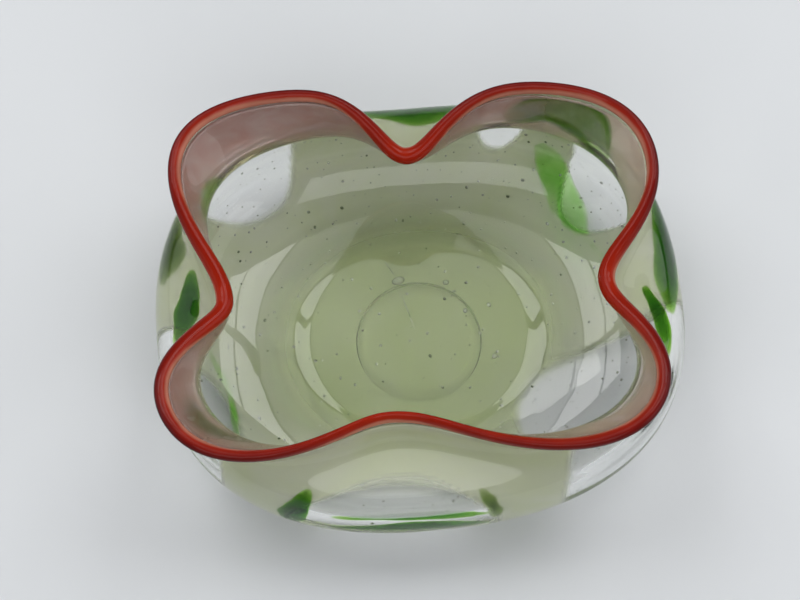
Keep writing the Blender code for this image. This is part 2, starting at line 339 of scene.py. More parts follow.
@dataclass(frozen=True)
class InnerColour:
    """Coloured glass inside the clear glass: the same glass, so light goes straight into it."""

    name: str
    tint: Tint
    cord_size: float = 0.006
    cord_tone: tuple[float, float, float] = (0.9, 0.95, 0.88)

    def material(self) -> bpy.types.Material:
        """Build the material.

        Returns:
            The glass, with faint cords of deeper colour in it.
        """
        bench = NodeBench(self.name)
        shader = bench.node("ShaderNodeBsdfPrincipled")
        shader.inputs["Transmission Weight"].default_value = 1.0
        shader.inputs["IOR"].default_value = 1.0
        shader.inputs["Roughness"].default_value = 0.0
        cords = bench.noise(bench.place(), 1 / self.cord_size, distortion=1.4)
        tone = bench.ramp(cords, ((0.35, self.cord_tone), (0.62, WHITE)))
        bench.link(tone, shader.inputs["Base Color"])
        bench.absorb(self.tint)
        bench.link(shader.outputs["BSDF"], bench.output.inputs["Surface"])
        return bench.material


@dataclass(frozen=True)
class MilkyGlass:
    """Coloured glass with a milkiness that scatters light, and clear places in it.

    It reads the attributes "cover", 1 where the colour is whole and 0 where it is clear, and "milk",
    the share of light that the milkiness scatters.
    """

    name: str
    tint: Tint
    body: tuple[float, float, float] = (0.925, 0.96, 0.74)
    pale: tuple[float, float, float] = (0.97, 0.985, 0.85)
    cloud_size: float = 0.030

    def material(self) -> bpy.types.Material:
        """Build the material.

        Returns:
            The glass.
        """
        bench = NodeBench(self.name)
        shader = bench.node("ShaderNodeBsdfPrincipled")
        shader.inputs["IOR"].default_value = 1.0
        shader.inputs["Roughness"].default_value = 0.0
        clouds = bench.noise(bench.place((1.0, 1.0, 1.6)), 1 / self.cloud_size, distortion=1.2)
        cover = bench.attribute("cover")
        tone = bench.ramp(clouds, ((0.35, self.body), (0.66, self.pale)))
        bench.link(bench.fade_in(cover, tone), shader.inputs["Base Color"])
        bench.link(bench.span(bench.attribute("milk"), 1.0, 0.0),
                   shader.inputs["Transmission Weight"])
        bench.absorb(self.tint)
        bench.link(shader.outputs["BSDF"], bench.output.inputs["Surface"])
        return bench.material


@dataclass(frozen=True)
class TrailGlass:
    """Strong red glass, nearly opaque, paler at its edges: nearly black along the outside of the
    lobes, partly for the thick red and partly as painted shade, and a brighter orange-red in the
    pinches, painted light shining through the thin red.

    It reads the attributes "across", 0 at the outside of the bead and 1 at the inside, and
    "pinched", 1 in the middle of a pinch.
    """

    name: str
    transmission: float = 0.15
    refraction: float = 1.36
    gloss: float = 0.16
    wander_cells: float = 60.0
    wander_reach: float = 0.10
    roughness: tuple[float, float] = (0.03, 0.06)
    ripple_height: float = 0.00025
    depth_cells: float = 140.0
    deep_tone: tuple[float, float, float] = (0.84, 0.80, 0.80)
    # Reds across a lobe: nearly black on the outside, partly the thick red and partly painted shade.
    lobe: tuple[tuple[float, tuple[float, float, float]], ...] = (
        (0.0, (0.040, 0.004, 0.008)), (0.36, (0.085, 0.006, 0.008)),
        (0.58, (0.190, 0.010, 0.008)), (0.84, (0.380, 0.026, 0.012)),
        (0.97, (0.620, 0.240, 0.160)))
    # Reds across a pinch: brighter than the lobes, painted light shining through the thin red.
    pinch: tuple[tuple[float, tuple[float, float, float]], ...] = (
        (0.0, (0.620, 0.230, 0.140)), (0.12, (0.420, 0.026, 0.008)),
        (0.50, (0.380, 0.016, 0.004)), (0.90, (0.420, 0.026, 0.008)),
        (1.0, (0.620, 0.230, 0.140)))

    def material(self) -> bpy.types.Material:
        """Build the material.

        Returns:
            The red glass.
        """
        bench = NodeBench(self.name)
        shader = bench.node("ShaderNodeBsdfPrincipled")
        shader.inputs["Transmission Weight"].default_value = self.transmission
        shader.inputs["IOR"].default_value = self.refraction
        shader.inputs["Specular IOR Level"].default_value = self.gloss
        place = bench.place()
        wander = bench.noise(place, self.wander_cells, distortion=0.5)
        across = bench.attribute("across")
        shifted = bench.add(across, bench.span(wander, -self.wander_reach, self.wander_reach))
        lobe = bench.ramp(shifted, self.lobe)
        pinch = bench.ramp(shifted, self.pinch)
        # Painted light and shade: the brighter pinch reds and the darker lobe reds are lit and
        # shaded versions of one red.
        red = bench.mix(bench.attribute("pinched"), lobe, pinch)
        depth = bench.ramp(bench.noise(place, self.depth_cells, detail=4.0),
                           ((0.3, self.deep_tone), (0.7, WHITE)))
        bench.link(bench.times(red, depth), shader.inputs["Base Color"])
        bench.link(bench.span(wander, *self.roughness), shader.inputs["Roughness"])
        bench.link(bench.bump(wander, 0.6, self.ripple_height), shader.inputs["Normal"])
        bench.link(shader.outputs["BSDF"], bench.output.inputs["Surface"])
        return bench.material


@dataclass(frozen=True)
class SeedGlass:
    """A seed of air, painted white as a painted highlight for its glint, with painted shade
    darkening some seeds.
    """

    name: str
    clearness: float = 0.55
    # The painted shade that the darker seeds get.
    dark: tuple[float, float, float] = (0.36, 0.42, 0.28)
    refraction: float = 1.45
    glint_and_shade_cells: float = 260.0

    def material(self) -> bpy.types.Material:
        """Build the material.

        Returns:
            The finish of a bubble's skin: white for a painted highlight, dark patches for painted
            shade.
        """
        bench = NodeBench(self.name)
        shader = bench.node("ShaderNodeBsdfPrincipled")
        shader.inputs["Transmission Weight"].default_value = self.clearness
        shader.inputs["IOR"].default_value = self.refraction
        shader.inputs["Roughness"].default_value = 0.0
        # Painted highlight and painted shade: noise picks white, glinting seeds and dark, shaded
        # ones.
        glint_and_shade = bench.noise(bench.place(), self.glint_and_shade_cells, detail=2.0)
        bench.link(bench.ramp(glint_and_shade, ((0.42, self.dark), (0.52, WHITE))),
                   shader.inputs["Base Color"])
        bench.link(shader.outputs["BSDF"], bench.output.inputs["Surface"])
        return bench.material


@dataclass(frozen=True)
class TableTop:
    """The plain pale table, with a faint unevenness."""

    light: tuple[float, float, float] = (0.70, 0.72, 0.74)
    shade: tuple[float, float, float] = (0.66, 0.68, 0.70)
    cloud_cells: float = 6.0
    grain_cells: float = 420.0
    grain_height: float = 0.0001
    roughness: tuple[float, float] = (0.34, 0.42)

    def material(self) -> bpy.types.Material:
        """Build the material.

        Returns:
            The table's finish.
        """
        bench = NodeBench("pale_table")
        shader = bench.node("ShaderNodeBsdfPrincipled")
        place = bench.place()
        cloud = bench.noise(place, self.cloud_cells, detail=4.0)
        bench.link(bench.ramp(cloud, ((0.3, self.shade), (0.7, self.light))),
                   shader.inputs["Base Color"])
        grain = bench.noise(place, self.grain_cells)
        bench.link(bench.span(grain, *self.roughness), shader.inputs["Roughness"])
        bench.link(bench.bump(grain, 0.15, self.grain_height), shader.inputs["Normal"])
        bench.link(shader.outputs["BSDF"], bench.output.inputs["Surface"])
        return bench.material


# Tints, in light taken out per metre
PALE_GREEN = Tint(22.0, 12.0, 56.0)
BRIGHT_GREEN = Tint(480.0, 20.0, 900.0)
DARK_GREEN = Tint(1900.0, 860.0, 3600.0)
OLIVE_GREEN = Tint(900.0, 640.0, 1400.0)
VEIL_PINK = Tint(420.0, 1150.0, 1350.0)
BODY_TINT = Tint(2.2, 1.2, 2.8)


# ------------------------------------------------------------------------------------------------
# The bowl's form


@dataclass(frozen=True)
class Pinch:
    """A place where the rim was squeezed in.

    Angles and reaches are in degrees, depth and dip in metres.
    """

    angle: float
    depth: float
    reach_before: float
    reach_after: float
    dip: float

    def strength(self, theta: np.ndarray) -> np.ndarray:
        """How much of the pinch is felt in each direction.

        Args:
            theta: Directions in radians.

        Returns:
            1 in the middle of the pinch, falling to 0 on both sides.
        """
        turn = (theta - math.radians(self.angle) + math.pi) % FULL_TURN - math.pi
        reach = np.radians(np.where(turn < 0, self.reach_before, self.reach_after))
        return np.exp(-(turn / reach) ** 2)


@dataclass(frozen=True)
class BowlForm:
    """The form of the wall: a rounded oblong belly, a neck, and a rim with four pinches.

    Level 0 is the edge of the foot, 1 the belly and 2 the rim.
    """

    body_length: float = 0.160
    body_width: float = 0.134
    rim_height: float = 0.060
    belly_height: float = 0.029
    foot_length: float = 0.068
    foot_width: float = 0.060
    neck_drop: float = 0.010
    neck_inset: tuple[float, float] = (0.0080, 0.0100)
    rim_inset: tuple[float, float] = (0.0033, 0.0063)
    rim_shift: float = -0.0026
    shoulder_inset: float = 0.25
    shoulder_rise: float = 0.55
    neck_pinch: float = 0.60
    squareness: tuple[float, float, float, float] = (2.0, 2.45, 3.0, 3.8)
    body_turn: float = math.radians(5.9)
    rim_turn: float = math.radians(2.9)
    pinches: tuple[Pinch, ...] = (
        Pinch(2.0, 0.0164, 15.4, 14.2, 0.0065),
        Pinch(91.3, 0.0161, 16.1, 14.5, 0.0075),
        Pinch(185.4, 0.0193, 25.0, 12.0, 0.0065),
        Pinch(261.0, 0.0170, 27.0, 47.0, 0.0035),
    )
    wall: float = 0.0041
    base: float = 0.0093
    lip_rise: float = 0.0043
    knots: tuple[float, ...] = (1.0, 1.35, 1.68, 2.0)
    bend_weight: float = 0.020
    rim_samples: int = 2881

    @staticmethod
    def outline(theta: np.ndarray, half_length: np.ndarray, half_width: np.ndarray,
                squareness: np.ndarray) -> np.ndarray:
        """Distance from the middle to a rounded oblong.

        Args:
            theta: Directions in radians.
            half_length: Half the size along X.
            half_width: Half the size along Y.
            squareness: 2 for an ellipse, more for a squarer outline.

        Returns:
            The distances.
        """
        across = np.abs(np.cos(theta) / half_length) ** squareness
        along = np.abs(np.sin(theta) / half_width) ** squareness
        return (across + along) ** (-1 / squareness)

    def stations(self) -> np.ndarray:
        """Sizes at the belly, shoulder, neck and rim.

        Returns:
            Rows of height, half length, half width, squareness, turn, shift and share of the
            pinches.
        """
        half_length, half_width = self.body_length / 2, self.body_width / 2
        neck_height = self.rim_height - self.neck_drop
        belly = np.array([self.belly_height, half_length, half_width, self.squareness[1],
                          self.body_turn, 0.0, 0.0])
        neck = np.array([neck_height, half_length - self.neck_inset[0],
                         half_width - self.neck_inset[1], self.squareness[2],
                         (self.body_turn + self.rim_turn) / 2, self.rim_shift / 2,
                         self.neck_pinch])
        shoulder = belly + (neck - belly) * self.shoulder_inset
        shoulder[0] = self.belly_height + (neck_height - self.belly_height) * self.shoulder_rise
        rim = np.array([self.rim_height, half_length - self.rim_inset[0],
                        half_width - self.rim_inset[1], self.squareness[3], self.rim_turn,
                        self.rim_shift, 1.0])
        return np.stack([belly, shoulder, neck, rim])

    def upper(self, theta: np.ndarray, level: np.ndarray) -> np.ndarray:
        """Points of the outside above the belly.

        Args:
            theta: Directions in radians.
            level: Levels from 1 to 2, one for each direction.

        Returns:
            The points.
        """
        rows = self.stations()
        knots = np.array(self.knots)
        slopes = np.gradient(rows, knots, axis=0)
        slopes[0] = 0.0
        slopes[0, 0] = (rows[1, 0] - rows[0, 0]) / (knots[1] - knots[0])
        span = np.clip(np.searchsorted(knots, level, side="right") - 1, 0, len(knots) - 2)
        step = (knots[span + 1] - knots[span])[..., None]
        t = (level - knots[span])[..., None] / step
        sizes = (rows[span] + t * t * (3 - 2 * t) * (rows[span + 1] - rows[span])
                 + step * (t * (1 - t) ** 2 * slopes[span] + t * t * (t - 1) * slopes[span + 1]))
        height, half_length, half_width, square, turn, shift, share = np.moveaxis(sizes, -1, 0)
        radius = self.outline(theta - turn, half_length, half_width, square)
        z = height.copy()
        for pinch in self.pinches:
            strength = pinch.strength(theta)
            radius = radius - pinch.depth * share * strength
            z = z - pinch.dip * share ** 2 * strength
        return np.stack([radius * np.cos(theta) + shift, radius * np.sin(theta), z], axis=-1)

    def lower(self, theta: np.ndarray, level: np.ndarray) -> np.ndarray:
        """Points of the outside below the belly.

        Args:
            theta: Directions in radians.
            level: Levels from 0 to 1, one for each direction.

        Returns:
            The points.
        """
        swing = level * math.pi / 2
        square = self.squareness[0] + (self.squareness[1] - self.squareness[0]) * level
        turned = theta - self.body_turn
        foot = self.outline(turned, self.foot_length / 2, self.foot_width / 2, square)
        belly = self.outline(turned, self.body_length / 2, self.body_width / 2, square)
        radius = foot + (belly - foot) * np.sin(swing)
        z = self.belly_height * (1 - np.cos(swing))
        return np.stack([radius * np.cos(theta), radius * np.sin(theta), z], axis=-1)

    def outside(self, theta: np.ndarray, level: np.ndarray) -> np.ndarray:
        """Points of the outside at any level.

        Args:
            theta: Directions in radians.
            level: Levels from 0 to 2, one for each direction.

        Returns:
            The points.
        """
        theta, level = np.broadcast_arrays(np.asarray(theta, float), np.asarray(level, float))
        low = self.lower(theta, np.clip(level, 0, 1))
        high = self.upper(theta, np.clip(level, 1, 2))
        return np.where((level < 1)[..., None], low, high)

    def normal(self, theta: np.ndarray, level: np.ndarray) -> np.ndarray:
        """Outward directions of the outside.

        Args:
            theta: Directions in radians.
            level: Levels from 0 to 2, one for each direction.

        Returns:
            Unit vectors.
        """
        theta, level = np.broadcast_arrays(np.asarray(theta, float), np.asarray(level, float))
        low, high = np.clip(level - FINE_STEP, 0, 2), np.clip(level + FINE_STEP, 0, 2)
        onward = self.outside(theta + FINE_STEP, level) - self.outside(theta - FINE_STEP, level)
        rise = self.outside(theta, high) - self.outside(theta, low)
        normal = np.cross(onward, rise)
        return normal / np.maximum(np.linalg.norm(normal, axis=-1, keepdims=True), TINY)

    def lip_edge(self, theta: np.ndarray) -> tuple[np.ndarray, np.ndarray, np.ndarray]:
        """The top edge of the outside.

        Args:
            theta: Directions in radians.

        Returns:
            The edge's points, its outward directions, and the directions in which the wall rises.
        """
        level = np.full_like(theta, 2.0)
        edge = self.outside(theta, level)
        up = edge - self.outside(theta, level - COARSE_STEP)
        up /= np.linalg.norm(up, axis=-1, keepdims=True)
        return edge, self.normal(theta, level), up

    def thickness(self, level: np.ndarray) -> np.ndarray:
        """The wall's full thickness, thicker in the base.

        Args:
            level: Levels from 0 to 2.

        Returns:
            Thicknesses in metres.
        """
        return self.wall + (self.base - self.wall) * np.clip(1 - level, 0, 1) ** 2

    def at(self, theta: np.ndarray, level: np.ndarray, depth: np.ndarray) -> np.ndarray:
        """Points under the outside.

        Args:
            theta: Directions in radians.
            level: Levels from 0 to 2.
            depth: Depths from the outside, in metres.

        Returns:
            The points.
        """
        return self.outside(theta, level) - self.normal(theta, level) * np.asarray(depth)[..., None]

    def columns(self, count: int) -> np.ndarray:
        """Directions that space the columns along the rim, closer together where it bends.

        Args:
            count: How many columns there are.

        Returns:
            The directions in radians.
        """
        fine = np.linspace(0, FULL_TURN, self.rim_samples)
        steps = np.diff(self.outside(fine, np.full_like(fine, 2.0))[:, :2], axis=0)
        heading = np.unwrap(np.arctan2(steps[:, 1], steps[:, 0]))
        turning = np.abs(np.gradient(heading))
        along = np.concatenate([[0], np.cumsum(np.hypot(*steps.T) + self.bend_weight * turning)])
        return np.interp(np.arange(count) / count * along[-1], along, fine)


class Fitting:
    """Carries the form's points into the CAD model's box, a hair inside it."""

    def __init__(self, form: BowlForm, hair: float = 0.00002, columns: int = 720,
                 rows: int = 60) -> None:
        """Measure the form and the box.

        Args:
            form: The bowl's form.
            hair: How far inside the box the bowl stays, in metres.
            columns: How many directions the form is measured in.
            rows: How many levels it is measured at, from just under the belly up.
        """
        theta = form.columns(columns)[None, :]
        level = np.linspace(0.8, 2, rows)[:, None]
        body = form.outside(theta, level).reshape(-1, 3)
        low, high = body.min(0), body.max(0)
        box_low = np.array(CAD_LOW) + hair
        box_high = np.array(CAD_HIGH) - hair
        self.scale = np.ones(3)
        self.shift = np.zeros(3)
        for axis in (0, 1):
            self.scale[axis] = (box_high[axis] - box_low[axis]) / (high[axis] - low[axis])
            self.shift[axis] = box_low[axis] - low[axis] * self.scale[axis]
        ends = form.at(theta[0], np.full(theta.shape[1], 2.0), np.full(theta.shape[1], 0.0))
        crest = ends[:, 2].max() + form.lip_rise
        self.scale[2] = min(1.0, (box_high[2] - box_low[2]) / crest)
        self.shift[2] = box_low[2]

    def __call__(self, points: np.ndarray) -> np.ndarray:
        """Move points into the box."""
        return np.asarray(points) * self.scale + self.shift


FORM = BowlForm()
FIT = Fitting(FORM)


# ------------------------------------------------------------------------------------------------
# Mesh making


@dataclass
class MeshDraft:
    """Points and faces on their way to a mesh."""

    points: list[np.ndarray] = field(default_factory=list)
    faces: list[tuple[int, ...]] = field(default_factory=list)
    count: int = 0

    def ring(self, points: np.ndarray) -> np.ndarray:
        """Add a row of points.

        Args:
            points: The points.

        Returns:
            Their numbers.
        """
        self.points.append(np.asarray(points, float))
        numbers = np.arange(self.count, self.count + len(points))
        self.count += len(points)
        return numbers

    def join(self, first: np.ndarray, second: np.ndarray, closed: bool = True) -> None:
        """Join two rows of points with quads.

        Args:
            first: The numbers of one row.
            second: The numbers of the next.
            closed: Whether the rows close into rings.
        """
        if closed:
            first, second = np.append(first, first[0]), np.append(second, second[0])
        self.faces += list(zip(first[:-1].tolist(), first[1:].tolist(), second[1:].tolist(),
                               second[:-1].tolist()))

    def cap(self, ring: np.ndarray, pole: np.ndarray) -> None:
        """Close a ring to one point.

        Args:
            ring: The ring's numbers.
            pole: The point.
        """
        top = int(self.ring(np.asarray(pole, float)[None, :])[0])
        around = np.append(ring, ring[0]).tolist()
        self.faces += [(a, b, top) for a, b in zip(around, around[1:])]

    def lathe(self, rings: list[np.ndarray], first_pole: np.ndarray,
              last_pole: np.ndarray) -> None:
        """A closed skin through rings, capped at both ends.

        Args:
            rings: The rings, from one pole to the other.
            first_pole: The point before the first ring.
            last_pole: The point after the last ring.
        """
        numbers = [self.ring(ring) for ring in rings]
        for lower, upper in zip(numbers, numbers[1:]):
            self.join(lower, upper)
        self.cap(numbers[0][::-1], first_pole)
        self.cap(numbers[-1], last_pole)

    def build(self, name: str, material: bpy.types.Material) -> bpy.types.Object:
        """Make the object, with its faces pointing out.

        Args:
            name: The object's name.
            material: Its finish.

        Returns:
            The object, in the scene.
        """
        mesh = bpy.data.meshes.new(name)
        mesh.from_pydata(np.concatenate(self.points).tolist(), [], self.faces)
        mesh.update()
        if signed_volume(mesh) < 0:
            mesh.flip_normals()
        mesh.shade_smooth()
        mesh.materials.append(material)
        item = bpy.data.objects.new(name, mesh)
        bpy.context.scene.collection.objects.link(item)
        return item


def signed_volume(mesh: bpy.types.Mesh) -> float:
    """Volume inside a closed mesh, negative if its faces point inwards.

    Args:
        mesh: The mesh.

    Returns:
        The volume in cubic metres.
    """
    mesh.calc_loop_triangles()
    corners = np.zeros(len(mesh.vertices) * 3)
    mesh.vertices.foreach_get("co", corners)
    corners = corners.reshape(-1, 3)
    triangles = np.zeros(len(mesh.loop_triangles) * 3, int)
    mesh.loop_triangles.foreach_get("vertices", triangles)
    a, b, c = (corners[triangles.reshape(-1, 3)[:, i]] for i in range(3))
    return float(np.einsum("ij,ij->i", a, np.cross(b, c)).sum() / 6)


def set_attribute(item: bpy.types.Object, name: str, values: np.ndarray) -> None:
    """Write one value per point on a mesh.

    Args:
        item: The object.
        name: The attribute's name.
        values: One value for each point.
    """
    layer = item.data.attributes.new(name, "FLOAT", "POINT")
    layer.data.foreach_set("value", values.astype(np.float32))


def smooth_path(knots: np.ndarray, at: np.ndarray) -> np.ndarray:
    """Points on a smooth curve through evenly numbered knots.

    Args:
        knots: One row per knot.
        at: Places, where 0 is the first knot and 1 the next.

    Returns:
        One row per place.
    """
    slopes = np.gradient(knots, axis=0)
    span = np.clip(at.astype(int), 0, len(knots) - 2)
    t = (at - span)[:, None]
    start, end = knots[span], knots[span + 1]
    return (start + t * t * (3 - 2 * t) * (end - start) + t * (1 - t) ** 2 * slopes[span]
            + t * t * (t - 1) * slopes[span + 1])


def attach(item: bpy.types.Object, slot: Slot, *nodes: str) -> bpy.types.Object:
    """Hang a piece on the root body and hide the CAD nodes that it stands for.

    Args:
        item: The piece.
        slot: The record's material slot; not used.
        nodes: The CAD nodes that it stands for.

    Returns:
        The piece.
    """
    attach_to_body(item, ROOT)
    if nodes:
        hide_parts(*nodes)
    LOG.info("%s: %d faces", item.name, len(item.data.polygons))
    return item


# ------------------------------------------------------------------------------------------------
# Pieces


@dataclass
class GlassBody:
    """The bowl's one body of clear glass, with its foot, pontil hollow and rounded lip."""

    columns: int = 400
    lower_levels: int = 34
    upper_levels: int = 40
    lip_steps: int = 10
    lip_rise: float = 0.0012
    floor_rings: int = 14
    pontil_radius: float = 0.0198
    pontil_depth: float = 0.0014
    pontil_squareness: float = 18.0
    foot_steps: tuple[float, ...] = (0.02, 0.35, 0.7)
    finish: SurfaceGlass = SurfaceGlass("clear_glass_body", BODY_TINT)

    def levels(self) -> np.ndarray:
        """The levels of the mesh, from the foot to the rim."""
        below = np.linspace(0, 1, self.lower_levels, endpoint=False)
        return np.concatenate([below, np.linspace(1, 2, self.upper_levels)])

    def lip(self, theta: np.ndarray) -> list[np.ndarray]:
        """The rounded lip, from the outside over to the inside.

        Args:
            theta: The columns' directions.

        Returns:
            Rings of points.
        """
        edge, normal, up = FORM.lip_edge(theta)
        rings = []
        for angle in np.linspace(0, math.pi, self.lip_steps + 2)[1:-1]:
            inward = FORM.wall / 2 * (1 - math.cos(angle))
            rings.append(edge - normal * inward + up * math.sin(angle) * self.lip_rise)
        return rings

    def foot(self, theta: np.ndarray) -> list[np.ndarray]:
        """The underside, from the middle of the pontil hollow to the foot's edge.

        Args:
            theta: The columns' directions.

        Returns:
            Rings of points.
        """
        rings = []
        around = np.stack([np.cos(theta), np.sin(theta)], axis=-1)
        for share in 1 - np.linspace(1, 0, self.floor_rings)[1:] ** 2:
            height = self.pontil_depth * (1 - share ** self.pontil_squareness)
            flat = around * self.pontil_radius * share
            rings.append(np.column_stack([flat, np.full(len(theta), height)]))
        edge = FORM.outside(theta, np.zeros_like(theta))
        rim = rings[-1]
        for share in self.foot_steps:
            rings.append(rim + (edge - rim) * share)
        return rings

    def build(self) -> bpy.types.Object:
        """Build the glass body.

        Returns:
            The object.
        """
        theta = FORM.columns(self.columns)
        levels = self.levels()
        grid_theta, grid_level = np.broadcast_arrays(theta[None, :], levels[:, None])
        outer = FORM.outside(grid_theta, grid_level)
        inner = FORM.at(grid_theta, grid_level, FORM.thickness(grid_level))
        floor_edge = inner[0]
        middle = np.array([0.0, 0.0, FORM.base])
        floor = [middle + (floor_edge - middle) * share
                 for share in np.linspace(1, 0, self.floor_rings)[1:-1]]
        rings = self.foot(theta) + list(outer) + self.lip(theta) + list(inner[::-1]) + floor
        draft = MeshDraft()
        draft.lathe([FIT(ring) for ring in rings], FIT(np.array([0, 0, self.pontil_depth])),
                    FIT(middle))
        item = draft.build("glass_wall", self.finish.material())
        return attach(item, Slot.CLEAR, "clear_casing")


@dataclass(frozen=True)
class Window:
    """A clear place in the green gather.

    Its middle and half sizes are in degrees and levels. The edge is how much further out, as a
    share of its size, the green is whole again.
    """

    theta: float
    level: float
    half_theta: float
    half_level: float
    edge: float
    squareness: float = 2.4

    def cover(self, theta: np.ndarray, level: np.ndarray) -> np.ndarray:
        """How much of the green is left.

        Args:
            theta: Directions in radians.
            level: Levels from 0 to 2.

        Returns:
            0 inside the window and 1 outside it.
        """
        turn = (np.degrees(theta) - self.theta + 180) % 360 - 180
        across = np.abs(turn / self.half_theta) ** self.squareness
        along = np.abs((level - self.level) / self.half_level) ** self.squareness
        away = (across + along) ** (1 / self.squareness)
        ramp = np.clip((away - 1) / self.edge, 0, 1)
        return ramp * ramp * (3 - 2 * ramp)


@dataclass
class GreenGather:
    """The pale green gather: a skin of coloured glass inside the wall, with clear windows."""

    columns: int = 400
    lower_levels: int = 44
    upper_levels: int = 44
    floor_rings: int = 10
    skin_depth: float = 0.0012
    sink: float = 0.30
    skin: float = 0.0011
    floor_skin: float = 0.0040
    least: float = 0.00003
    thinning: tuple[tuple[float, ...], tuple[float, ...]] = ((0.0, 1.10, 1.50, 2.0),
                                                             (1.0, 1.0, 0.45, 0.20))
    top_level: float = 1.985
    milk_levels: tuple[float, ...] = (0.0, 0.16, 0.36, 0.75, 1.30, 2.0)
    milk_shares: tuple[float, ...] = (0.14, 0.30, 0.76, 0.92, 0.80, 0.55)
    windows: tuple[Window, ...] = (
        Window(139, 1.14, 14.0, 0.60, edge=0.12),
        Window(69, 1.25, 6.5, 0.52, edge=0.14),
        Window(38, 1.08, 11.5, 0.62, edge=0.06),
        Window(204, 1.10, 18.0, 0.62, edge=0.06),
        Window(334, 0.92, 27.0, 0.84, edge=0.08),
        Window(264, 0.92, 25.0, 0.56, edge=0.08),
    )
    finish: MilkyGlass = MilkyGlass("pale_green_gather", PALE_GREEN)

    def cover(self, theta: np.ndarray, level: np.ndarray) -> np.ndarray:
        """How much of the green the windows leave.

        Args:
            theta: Directions in radians.
            level: Levels from 0 to 2.

        Returns:
            Shares from 0 to 1.
        """
        left = np.ones_like(theta)
        for window in self.windows:
            left = left * window.cover(theta, level)
        return left

    def build(self) -> bpy.types.Object:
        """Build the gather.

        Returns:
            The object.
        """
        theta = FORM.columns(self.columns)
        below = np.linspace(0, 1, self.lower_levels, endpoint=False)
        levels = np.concatenate([below, np.linspace(1, self.top_level, self.upper_levels)])
        grid_theta, grid_level = np.broadcast_arrays(theta[None, :], levels[:, None])
        base_share = np.clip(1 - grid_level, 0, 1) ** 2
        start = self.skin_depth + (FORM.base - FORM.wall) * self.sink * base_share
        full = self.skin + (self.floor_skin - self.skin) * base_share
        cover = self.cover(grid_theta, grid_level)
        thick = self.least + full * np.interp(grid_level, *self.thinning) * cover
        outer = FORM.at(grid_theta, grid_level, start)
        inner = FORM.at(grid_theta, grid_level, start + thick)
        shares = np.linspace(1, 0, self.floor_rings)[1:-1]
        outer_middle = np.array([0, 0, outer[0, 0, 2]])
        inner_middle = np.array([0, 0, inner[0, 0, 2]])
        under = [outer_middle + (outer[0] - outer_middle) * share for share in shares[::-1]]
        over = [inner_middle + (inner[0] - inner_middle) * share for share in shares]
        rings = under + list(outer) + list(inner[::-1]) + over
        draft = MeshDraft()
        draft.lathe([FIT(ring) for ring in rings], FIT(outer_middle), FIT(inner_middle))
        item = draft.build("green_gather", self.finish.material())
        milk = cover * np.interp(grid_level, self.milk_levels, self.milk_shares)
        for name, values, middle in (("cover", cover, 1.0), ("milk", milk, self.milk_shares[0])):
            flat = np.full(len(shares) * len(theta), middle)
            set_attribute(item, name, np.concatenate(
                [flat, values.ravel(), values[::-1].ravel(), flat, [middle, middle]]))
        return attach(item, Slot.PALE, "green_lining")


@dataclass
class LipTrail:
    """The red trail on the lip: a fat bead of strong red glass, clearer along its edges."""

    columns: int = 420
    sides: int = 26
    width: float = 0.0052
    waist: float = 0.42
    undercut: float = math.radians(24)
    widths: tuple[tuple[float, float], ...] = (
        (2, 1.0), (24, 0.66), (45, 0.55), (70, 0.60), (91, 1.0), (112, 0.60), (135, 0.55),
        (160, 0.72), (185, 1.0), (205, 0.80), (222, 0.74), (240, 0.60), (261, 0.44), (290, 0.56),
        (318, 0.74), (345, 0.84))
    finish: TrailGlass = TrailGlass("red_trail")

    def build(self) -> bpy.types.Object:
        """Build the trail.

        Returns:
            The object.
        """
        theta = FORM.columns(self.columns)
        edge, normal, up = FORM.lip_edge(theta)
        # The pinch share picks where the trail gets its brighter reds, painted light shining through
        # the pinches.
        pinched = np.max([pinch.strength(theta) for pinch in FORM.pinches], axis=0)
        waist = FORM.lip_rise * self.waist
        places, shares = np.array(self.widths).T
        half = self.width / 2 * np.interp(np.degrees(theta) % 360, places, shares, period=360)
        draft = MeshDraft()
        numbers, across = [], []
        for angle in np.linspace(-self.undercut, math.pi + self.undercut, self.sides):
            inward = FORM.wall / 2 - half * math.cos(angle)
            height = waist + (FORM.lip_rise - waist) * math.sin(angle)
            numbers.append(draft.ring(FIT(edge - normal * inward[:, None] + up * height)))
            across.append(np.full(len(theta), angle / math.pi))
        for lower, upper in zip(numbers, numbers[1:] + numbers[:1]):
            draft.join(lower, upper)
        item = draft.build("lip_trail", self.finish.material())
        set_attribute(item, "across", np.concatenate(across))
        set_attribute(item, "pinched", np.tile(pinched, self.sides))
        return attach(item, Slot.RED, "lip_wrap")


